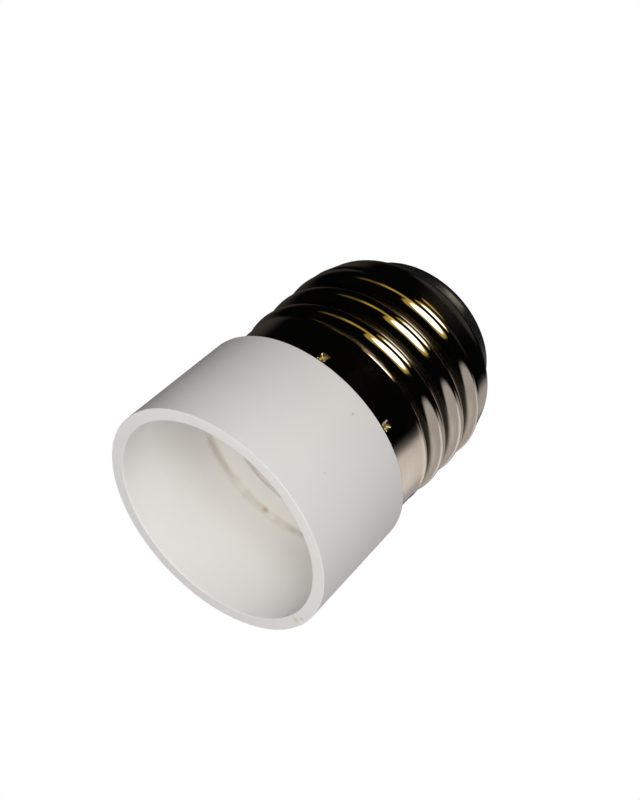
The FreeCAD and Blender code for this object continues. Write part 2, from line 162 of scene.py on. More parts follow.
def skin(name, grid, hoop, sharp=40.0):
    """Mesh over rings of points, each ring closed on itself.

    In a hoop the last ring joins the first one. Otherwise the first and the last ring are spots on the axis,
    and a fan of triangles closes each end. Faces are turned outwards by the sign of the volume.
    """
    rings, across = grid.shape[:2]
    if hoop:
        points = grid.reshape(-1, 3)
        quads = ring_faces(rings, across, 0)
        last = np.arange(across) + across * (rings - 1)
        start = np.arange(across)
        quads = np.vstack([quads, np.stack([last, np.roll(last, -1), np.roll(start, -1), start], axis=-1)])
        fans = np.zeros((0, 3), dtype=int)
    else:
        points = np.vstack([grid[0, :1], grid[1:-1].reshape(-1, 3), grid[-1, :1]])
        quads = ring_faces(rings - 2, across, 1)
        start = 1 + np.arange(across)
        last = start + across * (rings - 3)
        end = np.full(across, len(points) - 1)
        fans = np.vstack([np.stack([np.roll(start, -1), start, np.zeros_like(start)], axis=-1),
                          np.stack([last, np.roll(last, -1), end], axis=-1)])
    if signed_volume(points, quads, fans) < 0:
        quads = quads[:, ::-1]
        fans = fans[:, ::-1]
    sizes = np.concatenate([np.full(len(quads), 4), np.full(len(fans), 3)])
    mesh = bpy.data.meshes.new(name)
    mesh.vertices.add(len(points))
    mesh.vertices.foreach_set("co", (points * MM).ravel())
    mesh.loops.add(int(sizes.sum()))
    mesh.loops.foreach_set("vertex_index", np.concatenate([quads.ravel(), fans.ravel()]))
    mesh.polygons.add(len(sizes))
    mesh.polygons.foreach_set("loop_start", np.cumsum(sizes) - sizes)
    mesh.update(calc_edges=True)
    mesh.validate()
    mesh.shade_smooth()
    mesh.set_sharp_from_angle(angle=math.radians(sharp))
    piece = bpy.data.objects.new(name, mesh)
    bpy.context.collection.objects.link(piece)
    print(f"{name}: {len(quads) * 2 + len(fans)} triangles")
    return piece


# %% [markdown]
# ## Softened edges
#
# No moulded or pressed edge is quite sharp, and the thin bright line that runs along a soft edge is what
# tells the eye how thick a wall is. A Bevel modifier could add it, but it costs many faces where two rings
# lie close together. Here the corner is rounded in the half-section instead, before the section is turned: a
# radius on a drawing works in the same way. One more point on each side of an arc keeps the flat beside it
# looking flat.

# %% Rounded half-sections
FILLET_STEPS = 6
FLAT_MARGIN = 0.08


def fillet(before, corner, after, radius):
    """Arc that touches both edges of a corner.

    It starts at the radius divided by the tangent of half the angle between the edges, and turns about
    a centre on their bisector.
    """
    back = (before - corner) / np.linalg.norm(before - corner)
    ahead = (after - corner) / np.linalg.norm(after - corner)
    half = 0.5 * np.arccos(np.clip(back @ ahead, -1, 1))
    reach = radius / np.tan(half)
    bisector = (back + ahead) / np.linalg.norm(back + ahead)
    centre = corner + bisector * radius / np.sin(half)
    start = corner + back * reach - centre
    end = corner + ahead * reach - centre
    whole_turn = np.arctan2(start[0] * end[1] - start[1] * end[0], start @ end)
    turn = whole_turn * np.linspace(0, 1, FILLET_STEPS + 1)
    arc = np.stack([start[0] * np.cos(turn) - start[1] * np.sin(turn),
                    start[0] * np.sin(turn) + start[1] * np.cos(turn)], axis=-1) + centre
    return np.vstack([corner + back * (reach + FLAT_MARGIN), arc, corner + ahead * (reach + FLAT_MARGIN)])


def rounded(corners):
    """Half-section through corners given as (radius, height, fillet), with each fillet drawn in."""
    spots = np.array([corner[:2] for corner in corners], dtype=float)
    runs = [spots[:1]]
    for number in range(1, len(corners) - 1):
        radius = corners[number][2]
        if radius:
            runs.append(fillet(spots[number - 1], spots[number], spots[number + 1], radius))
        else:
            runs.append(spots[number:number + 1])
    runs.append(spots[-1:])
    return np.vstack(runs)


# %% [markdown]
# ## White moulding
#
# The cup, the barrel for the lamp and the ring that carries the metal cap come out of one mould. The outside
# of the cup narrows a little towards the rear, so that it leaves the mould. Behind the cup the moulding is
# cored out between barrel and ring, and six ribs join the two. A turned half-section gives all that is round.
# The ribs and the slot for the lead are not round, so the height of the coring floor and of the ring is
# changed in the columns that they cover.

# %% Half-section of the moulding
LIP_RECESS_RADIUS = widest("small_screw_shell") + 0.75
LIP_SEAT = CUP_FLOOR + 0.6
BARREL_BORE = 7.4
BARREL_OUTER = 8.8
BARREL_FLOOR = top("small_screw_shell")
BOSS_FACE = top("contact_tongue")
BOSS_RADIUS = 3.0
CORING_FLOOR = CUP_LENGTH + 1.4
SEAT_RADIUS = 12.35
SEAT_INSIDE = 10.7
SEAT_TOP = CUP_LENGTH + 5.2

moulding_corners = [
    (0, BARREL_END, 0),
    (BARREL_OUTER, BARREL_END, 0.25),
    (BARREL_OUTER, CORING_FLOOR, 0),
    (SEAT_INSIDE, CORING_FLOOR, 0),
    (SEAT_INSIDE, SEAT_TOP, 0),
    (SEAT_RADIUS, SEAT_TOP, 0),
    (SEAT_RADIUS, CUP_LENGTH, 0),
    (CUP_REAR_RADIUS, CUP_LENGTH, 0.06),
    (CUP_MOUTH_RADIUS, 0, 0.05),
    (CUP_BORE_RADIUS, 0, 0.08),
    (CUP_BORE_RADIUS, CUP_FLOOR, 0.6),
    (LIP_RECESS_RADIUS, CUP_FLOOR, 0.2),
    (LIP_RECESS_RADIUS, LIP_SEAT, 0),
    (BARREL_BORE, LIP_SEAT, 0),
    (BARREL_BORE, BARREL_FLOOR, 0),
    (BOSS_RADIUS, BARREL_FLOOR, 0),
    (BOSS_RADIUS, BOSS_FACE, 0.2),
    (0, BOSS_FACE, 0),
]
moulding_section = rounded(moulding_corners)
print("points in the half-section:", len(moulding_section))

# %% Columns of the moulding, with its ribs and the slot for the lead
RIB_COUNT = 6
RIB_HALF_ANGLE = math.radians(3.53)
SLOT_HALF_ANGLE = math.radians(3.0)
EDGE_STEP = math.radians(0.03)
LEAD_ANGLE = math.pi / 2
MOULDING_COLUMNS = 240


def wrapped(angle):
    """The same angle, counted between -180 and 180 degrees."""
    return (angle + np.pi) % (2 * np.pi) - np.pi


def away_from(angle, centres):
    """How far an angle lies from the nearest of several centres, the short way round."""
    return np.min([np.abs(wrapped(angle - centre)) for centre in centres], axis=0)


def moulding_grid():
    """Rings of the moulding: the half-section at every column.

    Two of its heights change where a rib or the slot is. They stop short by the number of the edge step, so
    that no face loses its area.
    """
    rib_centres = LEAD_ANGLE + np.pi / RIB_COUNT + 2 * np.pi * np.arange(RIB_COUNT) / RIB_COUNT
    steps = np.array([0, EDGE_STEP])
    rib_edges = [rib_centres + side * (RIB_HALF_ANGLE + step) for side in (-1, 1) for step in steps]
    slot_edges = [LEAD_ANGLE + side * (SLOT_HALF_ANGLE + steps) for side in (-1, 1)]
    edges = np.concatenate(rib_edges + slot_edges)
    angle = np.unique(np.concatenate([columns(MOULDING_COLUMNS), wrapped(edges)]))
    in_rib = away_from(angle, rib_centres) < RIB_HALF_ANGLE + EDGE_STEP / 2
    in_slot = away_from(angle, [LEAD_ANGLE]) < SLOT_HALF_ANGLE + EDGE_STEP / 2
    radius, height = (moulding_section[:, [side]] for side in (0, 1))
    raised = np.isclose(height, CORING_FLOOR) & in_rib[None, :]
    lowered = np.isclose(height, SEAT_TOP) & in_slot[None, :]
    height = np.where(raised, SEAT_TOP - EDGE_STEP, np.where(lowered, CORING_FLOOR + EDGE_STEP, height))
    return rings_of(radius, height, angle[None, :])


moulding = skin("moulded_cup", moulding_grid(), hoop=False)
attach(moulding, "root")
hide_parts("cup_body")

# %% [markdown]
# ## Large screw thread
#
# The metal cap is thin sheet, and its knuckle thread is rolled in from both sides. The section of such a
# thread is two arcs that touch on the slope: a wide one at the crest and a narrow one at the root, where the
# roller's edge pressed. The thread winds round the axis, so its section climbs by one pitch in each turn. It
# could be swept along a helix, but then its ends would be cut off. On the real cap it fades out of the plain
# collar and into the plain shoulder. A radius that is a function of height and angle does both: the thread is
# one function, and a smooth step blends it with the plain radius.

# %% Knuckle thread as a radius
def knuckle(height, angle, thread):
    """Radius of a knuckle thread.

    The two arcs touch when their radii add up to (half pitch squared + depth squared) / (2 depths). The
    crest's arc holds over its share of half the pitch: crest radius - (arc - root of (arc squared - distance
    squared)). Beyond that the root's arc holds, with the distance from the root: root radius + (arc - root of
    (arc squared - distance squared)).
    """
    half, depth = thread["pitch"] / 2, thread["crest"] - thread["root"]
    both_arcs = (half ** 2 + depth ** 2) / (2 * depth)
    crest_arc = thread["crest_arc"]
    root_arc = both_arcs - crest_arc
    meet = half * crest_arc / both_arcs
    along = np.abs((height - thread["first"] - half * angle / np.pi + half) % (2 * half) - half)
    from_crest = np.clip(along, 0, meet)
    from_root = np.clip(half - along, 0, half - meet)
    crest = thread["crest"] - (crest_arc - np.sqrt(crest_arc ** 2 - from_crest ** 2))
    root = thread["root"] + (root_arc - np.sqrt(root_arc ** 2 - from_root ** 2))
    return np.where(along < meet, crest, root)


def smooth_step(here, start, end):
    """0 before start, 1 after end, and 3 s squared - 2 s cubed between them."""
    share = np.clip((here - start) / (end - start), 0, 1)
    return share * share * (3 - 2 * share)


LARGE_CREST = widest("large_screw_shell")
LARGE = {"pitch": 3.629, "crest": LARGE_CREST, "root": LARGE_CREST - 1.097, "crest_arc": 1.88, "first": 22.9}
print(f"large thread from {LARGE['root']:.2f} to {LARGE['crest']:.2f} mm in radius")

# %% [markdown]
# ## Metal screw cap
#
# The sheet starts as a plain collar that sits on the moulding, takes the thread, narrows over a tapering
# shoulder, and turns in over the black insulator. Eight stakes, punched through the collar into the moulding,
# stop it from turning. A stake is a square dent with torn corners, where the brass under the nickel shows.
# Rows and columns of the grid lie closer together there, so that a dent less than a millimetre wide has an
# edge. The inner skin is the outer one moved in along its own slope, which keeps the sheet equally thick on
# the flanks.

# %% Rows and columns of the metal cap
SHEET = 0.35
COLLAR_RADIUS = 12.8
COLLAR_START = foot("large_screw_shell")
THREAD_FADE_IN = (20.2, 21.7)
THREAD_FADE_OUT = (30.3, 31.3)
SHOULDER_RADIUS = 12.3
SHOULDER_TAPER = math.radians(15)
SHELL_END = top("large_screw_shell")
BEND_START = 33.4
BEND_RADIUS = (SHELL_END - BEND_START) / (1 - math.sin(SHOULDER_TAPER))
OPENING_RADIUS = 9.5
STAKE_COUNT = 8
STAKE_HEIGHT = 16.3
STAKE_HALF = 0.52
STAKE_DEPTH = 0.3
STAKE_REACH = 0.85
CAP_COLUMNS, STAKE_COLUMNS, STAKE_ROWS = 216, 17, 21
OUTER_ROW_STEP, INNER_ROW_STEP = 0.08, 0.3
COLLAR_EDGE_ROWS = (0.0, 0.04, 0.12, 0.3)


def shell_columns():
    """Even columns all round, and finer ones across each stake."""
    stakes = stake_angles()
    reach = STAKE_REACH / COLLAR_RADIUS
    fine = (stakes[:, None] + np.linspace(-reach, reach, STAKE_COLUMNS)[None, :]).ravel()
    even = columns(CAP_COLUMNS)
    even = even[away_from(even, stakes) > reach]
    return np.unique(np.concatenate([even, wrapped(fine)]))


def stake_angles():
    """Angles of the stakes, half a step away from the lead."""
    return LEAD_ANGLE + (np.arange(STAKE_COUNT) + 0.5) * 2 * np.pi / STAKE_COUNT - 2 * np.pi


def shell_heights(thread_step):
    """Heights of the rows from the collar's edge to the shoulder: fine across the stakes and the thread."""
    low, high = STAKE_HEIGHT - STAKE_REACH, STAKE_HEIGHT + STAKE_REACH
    return np.unique(np.round(np.concatenate([
        COLLAR_START + np.array(COLLAR_EDGE_ROWS),
        np.linspace(low, high, STAKE_ROWS),
        np.linspace(high, THREAD_FADE_IN[0], 7),
        np.arange(THREAD_FADE_IN[0], THREAD_FADE_OUT[1], thread_step),
        np.linspace(THREAD_FADE_OUT[1], BEND_START, 8),
    ]), 4))


# %% Radius of the metal cap
def stake_dent(height, angle):
    """Depth of the dents as a share of the full depth.

    The distance from a stake's centre is the larger of the two distances along and across, which makes
    the dent square. It is full inside a third of the half width and fades to nothing at the edge.
    """
    across = away_from(angle, stake_angles()) * COLLAR_RADIUS
    along = np.abs(height - STAKE_HEIGHT)
    return 1 - smooth_step(np.maximum(across, along), STAKE_HALF / 3, STAKE_HALF)


def shell_radius(height, angle):
    """Outer radius of the cap: collar, thread and tapering shoulder, blended by smooth steps of height."""
    threaded = knuckle(height, angle, LARGE)
    radius = COLLAR_RADIUS + smooth_step(height, *THREAD_FADE_IN) * (threaded - COLLAR_RADIUS)
    shoulder = SHOULDER_RADIUS + (BEND_START - height) * math.tan(SHOULDER_TAPER)
    return radius + smooth_step(height, *THREAD_FADE_OUT) * (shoulder - radius)


def shoulder_bend(sheets):
    """Bend from the taper to the turned-in end, as an arc that starts with the taper's slope.

    The end lies where the arc reaches the opening: the cosine there is that of the taper less the way inwards
    divided by the arc's radius. A number of sheets moves the arc inwards.
    """
    reach = math.cos(SHOULDER_TAPER) - (SHOULDER_RADIUS - OPENING_RADIUS - 0.1) / BEND_RADIUS
    slope = np.linspace(SHOULDER_TAPER, math.acos(reach), 17)[1:, None]
    arc = BEND_RADIUS - sheets * SHEET
    centre_radius = SHOULDER_RADIUS - BEND_RADIUS * math.cos(SHOULDER_TAPER)
    centre_height = SHELL_END - BEND_RADIUS
    return centre_radius + arc * np.cos(slope), centre_height + arc * np.sin(slope)


def offset_inwards(radius, height, thickness):
    """Radius and height moved in along the section's normal, by the change of radius with height."""
    height = np.broadcast_to(height, radius.shape)
    slope = np.gradient(radius, axis=0) / np.gradient(height, axis=0)
    length = np.sqrt(1 + slope ** 2)
    return radius - thickness / length, height + thickness * slope / length


# %% Sheet of the metal cap
def shell_grid(angle):
    """Rings up the outside of the sheet, over the turned-in end and back down its inner side."""
    outer_height = shell_heights(OUTER_ROW_STEP)[:, None]
    outer_radius = shell_radius(outer_height, angle) - STAKE_DEPTH * stake_dent(outer_height, angle)
    inner_height = shell_heights(INNER_ROW_STEP)[::-1][:, None]
    inner_radius = shell_radius(inner_height, angle)
    inner_radius, inner_height = offset_inwards(inner_radius, inner_height, SHEET)
    inner_radius = inner_radius - STAKE_DEPTH * stake_dent(inner_height, angle)
    inner_height[-1] = COLLAR_START
    outside, inside = shoulder_bend(0), shoulder_bend(1)
    edge = OPENING_RADIUS + np.array([0.05, 0.01, 0.0])[:, None]
    lift = np.array([0.0, 0.03, 0.1])[:, None]
    rows = [
        (outer_radius, outer_height),
        outside,
        (edge, outside[1][-1] - lift),
        (edge[::-1], inside[1][-1] + lift[::-1]),
        (inside[0][::-1], inside[1][::-1]),
        (inner_radius, inner_height),
    ]
    return np.vstack([rings_of(radius, height, angle[None, :]) for radius, height in rows])


metal_cap_grid = shell_grid(shell_columns())
metal_cap = skin("screw_cap_shell", metal_cap_grid, hoop=True)
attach(metal_cap, "root")
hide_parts("large_screw_shell")

# %% [markdown]
# ## Masks on the cap
#
# Two masks on the points serve the finish below. One says where a stake has torn the plate, so that brass can
# show there. The other says where the thread is deep, so that its narrow roots can be painted dark, as
# painted shade. Both could be patterns worked out from the place in the material, but then the thread and the
# stakes would be described twice.

# %% Masks for torn plate and for painted shade at the thread's roots
ROOT_SHADE_DEPTHS = (0.33, 0.75)


def point_mask(piece, name, share):
    """A number for each point of a piece, under a name that a material can read."""
    mask = piece.data.attributes.new(name, "FLOAT", "POINT")
    mask.data.foreach_set("value", share.ravel().astype(np.float32))
    print(name, "covers", int((share > 0.05).sum()), "points")


cap_radius = np.hypot(metal_cap_grid[..., 0], metal_cap_grid[..., 1])
cap_height = metal_cap_grid[..., 2]
cap_angle = np.arctan2(metal_cap_grid[..., 0], -metal_cap_grid[..., 1])
depth_share = (LARGE["crest"] - cap_radius) / (LARGE["crest"] - LARGE["root"])
on_thread = (cap_height > THREAD_FADE_IN[0]) & (cap_height < THREAD_FADE_OUT[1])
point_mask(metal_cap, "torn_plate", stake_dent(cap_height, cap_angle))
point_mask(metal_cap, "root_shade", smooth_step(depth_share, *ROOT_SHADE_DEPTHS) * on_thread)

# %% [markdown]
# ## Socket shell
#
# The lamp screws into a second rolled shell inside the barrel. Its lip lies in the recess of the cup's floor,
# its thread stands inwards, and at the back it steps in to a flat flange that is riveted to the barrel. It is
# made like the cap, with the crest and root the other way round: the thread is pressed in from a round wall.

# %% Socket shell for the lamp
SMALL_SHEET = 0.3
LIP_FACE = foot("small_screw_shell")
LIP_RADIUS = widest("small_screw_shell")
SMALL = {"pitch": 2.822, "crest": 7.0, "root": 6.2, "crest_arc": 0.822, "first": 16.4}
SMALL_FADE_IN = (14.9, 16.2)
SMALL_FADE_OUT = (24.6, 26.0)
STEP_RADIUS = 6.4
STEP_HEIGHT = 26.3
FLANGE_BORE = 4.0
SOCKET_ROWS = 104


def socket_radius(height, angle):
    """Inner radius of the socket's wall: round near the lip and the step, threaded between them."""
    threaded = knuckle(height, angle, SMALL)
    shown = smooth_step(height, *SMALL_FADE_IN) * (1 - smooth_step(height, *SMALL_FADE_OUT))
    return SMALL["crest"] + shown * (threaded - SMALL["crest"])


def socket_grid(angle):
    """Rings up the inside of the socket, across its flange, and back down its outer side to the lip."""
    wall = np.linspace(LIP_FACE + SMALL_SHEET + 0.3, STEP_HEIGHT - 0.4, SOCKET_ROWS)[:, None]
    inside = socket_radius(wall, angle)
    outside, outside_height = offset_inwards(inside, wall, -SMALL_SHEET)
    start = rounded([(LIP_RADIUS, LIP_FACE + 0.1, 0), (LIP_RADIUS, LIP_FACE, 0.08),
                     (SMALL["crest"], LIP_FACE, 0.3), (SMALL["crest"], LIP_FACE + 0.55, 0)])
    outer_step, outer_wall = STEP_RADIUS + SMALL_SHEET, SMALL["crest"] + SMALL_SHEET
    inner_end = rounded([(SMALL["crest"], STEP_HEIGHT - 0.35, 0), (SMALL["crest"], STEP_HEIGHT, 0.25),
                         (STEP_RADIUS, STEP_HEIGHT, 0.2), (STEP_RADIUS, BARREL_FLOOR - SMALL_SHEET, 0.3),
                         (FLANGE_BORE, BARREL_FLOOR - SMALL_SHEET, 0.05), (FLANGE_BORE, BARREL_FLOOR, 0.05),
                         (outer_step, BARREL_FLOOR, 0.5), (outer_step, STEP_HEIGHT + SMALL_SHEET, 0),
                         (outer_wall, STEP_HEIGHT + SMALL_SHEET, 0.4)])
    outer_end = np.array([(outer_wall, LIP_FACE + SMALL_SHEET), (LIP_RADIUS, LIP_FACE + SMALL_SHEET)])
    rows = [(start[1:, [0]], start[1:, [1]]), (inside, wall), (inner_end[:-1, [0]], inner_end[:-1, [1]]),
            (outside[::-2], outside_height[::-2]), (outer_end[:, [0]], outer_end[:, [1]])]
    return np.vstack([rings_of(radius, height, angle[None, :]) for radius, height in rows])


socket_shell = skin("lamp_socket_shell", socket_grid(columns(180)), hoop=True)
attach(socket_shell, "root")
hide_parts("small_screw_shell")

# %% [markdown]
# ## Insulator, end contact and pin
#
# Black insulation is moulded round the turned-in end of the cap and carries the contact. The contact is a
# headed piece with a hollow shank, and a pin through it holds the lead. All three are turned pieces, so they
# need only a half-section with soft corners. The insulator bulges between the cap and its nose, as an arc
# through three places.

# %% Insulator at the end of the cap
INSULATOR_BACK = foot("cap_insulator")
NOSE = top("cap_insulator")
INSULATOR_RADIUS = widest("cap_insulator")
NOSE_RADIUS = 5.4
NECK_RADIUS = OPENING_RADIUS - 0.1
SHANK_RADIUS = 1.65
BULGE = (8.85, 0.5 * (SHELL_END + NOSE))
CONE_START = (INSULATOR_RADIUS - 0.12, SHELL_END + 0.8)
SEAT_GAP = 0.1


def arc_through(start, middle, end, steps):
    """Points of a parabola through three places, close to an arc: each place times its Lagrange weight."""
    share = np.linspace(0, 1, steps)[:, None]
    start, middle, end = (np.array(place, dtype=float) for place in (start, middle, end))
    return (start * 2 * (share - 0.5) * (share - 1) - middle * 4 * share * (share - 1)
            + end * 2 * share * (share - 0.5))


def insulator_section():
    """Half-section of the insulator: hole, back flange, neck in the cap's opening, bulging cone and nose."""
    below, above = SHELL_END - SHEET - SEAT_GAP, SHELL_END + SEAT_GAP
    back = rounded([(SHANK_RADIUS, NOSE - 0.4, 0), (SHANK_RADIUS, INSULATOR_BACK, 0.1),
                    (INSULATOR_RADIUS, INSULATOR_BACK, 0.2), (INSULATOR_RADIUS, below, 0.1),
                    (NECK_RADIUS, below, 0), (NECK_RADIUS, above, 0), (INSULATOR_RADIUS, above, 0.12),
                    CONE_START + (0,)])
    cone = arc_through(CONE_START, BULGE, (NOSE_RADIUS + 0.35, NOSE - 0.2), 22)
    nose = rounded([tuple(cone[-1]) + (0,), (NOSE_RADIUS + 0.15, NOSE, 0.12), (SHANK_RADIUS, NOSE, 0.1),
                    (SHANK_RADIUS, NOSE - 0.3, 0)])
    return np.vstack([back[1:-1], cone, nose[1:]])


def turned(name, section, hoop, across=180):
    """Mesh of a half-section carried round the axis."""
    return skin(name, rings_of(section[:, [0]], section[:, [1]], columns(across)[None, :]), hoop)


insulator = turned("end_insulator", insulator_section(), hoop=True)
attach(insulator, "root")
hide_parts("cap_insulator")

# %% End contact and its pin
CONTACT_RADIUS = widest("tip_contact")
CONTACT_FOOT = foot("tip_contact")
CONTACT_TOP = CONTACT_FOOT + 9.05
CONTACT_BORE = 1.15
PIN_FOOT = foot("contact_pin")
PIN_TOP = top("contact_pin")
PIN_HEAD = widest("contact_pin")
CLINCH_RADIUS = 2.3
DOME_FOOT = (0.7 * CONTACT_RADIUS, NOSE + 1.67)
DOME_MIDDLE = (0.52 * CONTACT_RADIUS, NOSE + 1.97)
DOME_FLAT_RADIUS = 1.6
PIN_POINT_RADIUS, PIN_POINT_LENGTH = 0.58, 0.7
PIN_RADIUS = CONTACT_BORE - 0.05


def contact_section():
    """Half-section of the contact: clinched tail, shank, flat underside, rolled edge and low dome."""
    shank = rounded([(CONTACT_BORE, CONTACT_TOP - 0.2, 0), (CONTACT_BORE, CONTACT_FOOT, 0.1),
                     (CLINCH_RADIUS, CONTACT_FOOT, 0.2), (CLINCH_RADIUS, INSULATOR_BACK, 0.1),
                     (SHANK_RADIUS - 0.05, INSULATOR_BACK, 0), (SHANK_RADIUS - 0.05, NOSE, 0),
                     (CONTACT_RADIUS, NOSE, 0.18), (CONTACT_RADIUS, NOSE + 0.6, 0.35), DOME_FOOT + (0,)])
    dome = arc_through(DOME_FOOT, DOME_MIDDLE, (DOME_FLAT_RADIUS, CONTACT_TOP), 12)
    rim = rounded([(DOME_FLAT_RADIUS, CONTACT_TOP, 0), (CONTACT_BORE, CONTACT_TOP, 0.06),
                   (CONTACT_BORE, CONTACT_TOP - 0.1, 0)])
    return np.vstack([shank[1:-1], dome, rim[1:]])


def pin_section():
    """Half-section of the pin: pointed tail, plain shank and a low domed head."""
    tail = rounded([(0, PIN_FOOT, 0), (PIN_POINT_RADIUS, PIN_FOOT, 0.12),
                    (PIN_RADIUS, PIN_FOOT + PIN_POINT_LENGTH, 0.3), (PIN_RADIUS, CONTACT_TOP, 0),
                    (PIN_HEAD, CONTACT_TOP, 0.1), (PIN_HEAD, CONTACT_TOP + 0.1, 0)])
    turn = np.linspace(0.15, np.pi / 2, 9)
    head = np.stack([PIN_HEAD * np.cos(turn), CONTACT_TOP + (PIN_TOP - CONTACT_TOP) * np.sin(turn)], axis=-1)
    head[-1, 0] = 0
    return np.vstack([tail[:-1], head])


contact = turned("end_contact", contact_section(), hoop=True)
pin = turned("end_contact_pin", pin_section(), hoop=False, across=96)
for piece, node in ((contact, "tip_contact"), (pin, "contact_pin")):
    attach(piece, "root")
    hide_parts(node)

# %% [markdown]
# ## Building blocks of the finishes
#
# A finish is a small tree of nodes. Four effects come up again and again, so each is a group with named
# inputs: soft clouds of lighter and darker material, fine lines round the axis from rolling or turning, a
# single spot at a known place, and painted shade with some dirt along a circle. A group only puts out a
# number. The shader itself stays in the material, where its own values can be seen and exported.

# %% Helpers for node trees
def feed(tree, socket, value):
    """Link an output to a socket, or give the socket a plain value."""
    if isinstance(value, bpy.types.NodeSocket):
        tree.links.new(value, socket)
    else:
        socket.default_value = value


def add_node(tree, kind, *values, **settings):
    """A node. Its inputs take the values in their order, and the settings by name or else as properties."""
    node = tree.nodes.new("ShaderNode" + kind)
    for name, value in settings.items():
        label = name.replace("_", " ")
        if label in node.inputs:
            feed(tree, node.inputs[label], value)
        else:
            setattr(node, name, value)
    for socket, value in zip(node.inputs, values):
        feed(tree, socket, value)
    return node


def new_group(name, output, **inputs):
    """An empty node group, the sockets of its inputs, and the socket of its output.

    An input without a value is a place, and one with a value is a number.
    """
    tree = bpy.data.node_groups.new(name, "ShaderNodeTree")
    for label, value in inputs.items():
        kind = "NodeSocketVector" if value is None else "NodeSocketFloat"
        socket = tree.interface.new_socket(name=label, in_out="INPUT", socket_type=kind)
        if value is not None:
            socket.default_value = value
    tree.interface.new_socket(name=output, in_out="OUTPUT", socket_type="NodeSocketFloat")
    return tree, tree.nodes.new("NodeGroupInput").outputs, tree.nodes.new("NodeGroupOutput").inputs[0]


def mapped(tree, value, start, end, smooth=False):
    """A value carried from one range to another, where start and end are pairs of before and after."""
    node = add_node(tree, "MapRange", Value=value, From_Min=start[0], From_Max=end[0], To_Min=start[1],
                    To_Max=end[1], interpolation_type="SMOOTHSTEP" if smooth else "LINEAR")
    return node.outputs["Result"]


def maths(tree, operation, *values, **settings):
    """What an operation makes of plain values and outputs."""
    return add_node(tree, "Math", *values, operation=operation, **settings).outputs["Value"]


def from_axis(tree, place):
    """Distance of a place from the axis: the length of the place without its height."""
    flat = add_node(tree, "VectorMath", place, (1, 1, 0), operation="MULTIPLY")
    return add_node(tree, "VectorMath", flat.outputs["Vector"], operation="LENGTH").outputs["Value"]


def falling(tree, distance, reach):
    """1 at no distance and 0 beyond the reach, with a smooth step between them."""
    return mapped(tree, distance, (0.0, 1.0), (reach, 0.0), smooth=True)


# %% Clouds, lines, spots and rings
def clouds_group():
    """Soft clouds: a noise, spread from its middle band to the range from Low to High."""
    tree, given, result = new_group("soft_clouds", "Value", Vector=None, Scale=1.0, Low=0.0, High=1.0)
    noise = add_node(tree, "TexNoise", Vector=given["Vector"], Scale=given["Scale"], Detail=4.0,
                     Roughness=0.55)
    spread = mapped(tree, noise.outputs["Fac"], (0.32, given["Low"]), (0.68, given["High"]))
    tree.links.new(spread, result)
    return tree


def lines_group():
    """Fine lines round the axis: a noise that changes fast along Z and hardly at all across it."""
    tree, given, result = new_group("turning_lines", "Height", Vector=None, Lines=8.0, Drift=0.08)
    squeeze = add_node(tree, "CombineXYZ", given["Drift"], given["Drift"], given["Lines"])
    stretch = add_node(tree, "VectorMath", given["Vector"], squeeze.outputs["Vector"], operation="MULTIPLY")
    noise = add_node(tree, "TexNoise", Vector=stretch.outputs["Vector"], Scale=1.0, Detail=3.0, Roughness=0.6)
    tree.links.new(noise.outputs["Fac"], result)
    return tree


def spot_group():
    """One spot: 1 at its centre and 0 beyond its size, with an edge made uneven by a noise."""
    tree, given, result = new_group("spot", "Mask", Vector=None, Centre=None, Size=0.3, Ragged=0.3)
    distance = add_node(tree, "VectorMath", given["Vector"], given["Centre"], operation="DISTANCE")
    noise = add_node(tree, "TexNoise", Vector=given["Vector"], Scale=6.0, Detail=2.0)
    uneven = maths(tree, "MULTIPLY_ADD", noise.outputs["Fac"], given["Ragged"], distance.outputs["Value"])
    tree.links.new(falling(tree, uneven, given["Size"]), result)
    return tree


def ring_group():
    """Painted shade with some dirt along a circle: 1 at that radius and height and 0 beyond the width, broken
    up by a noise.
    """
    tree, given, result = new_group("shade_and_dirt_ring", "Mask", Vector=None, Radius=10.0, Height=0.0, Width=0.4)
    level = add_node(tree, "SeparateXYZ", given["Vector"]).outputs["Z"]
    here = add_node(tree, "CombineXYZ", X=from_axis(tree, given["Vector"]), Z=level)
    circle = add_node(tree, "CombineXYZ", X=given["Radius"], Z=given["Height"])
    distance = add_node(tree, "VectorMath", here.outputs[0], circle.outputs[0], operation="DISTANCE")
    noise = add_node(tree, "TexNoise", Vector=given["Vector"], Scale=0.4, Detail=3.0)
    broken = mapped(tree, noise.outputs["Fac"], (0.3, 0.2), (0.6, 1.0))
    near = falling(tree, distance.outputs["Value"], given["Width"])
    tree.links.new(maths(tree, "MULTIPLY", near, broken), result)
    return tree


CLOUDS, LINES, SPOT, SHADE_AND_DIRT_RING = clouds_group(), lines_group(), spot_group(), ring_group()
print("node groups:", [group.name for group in (CLOUDS, LINES, SPOT, SHADE_AND_DIRT_RING)])


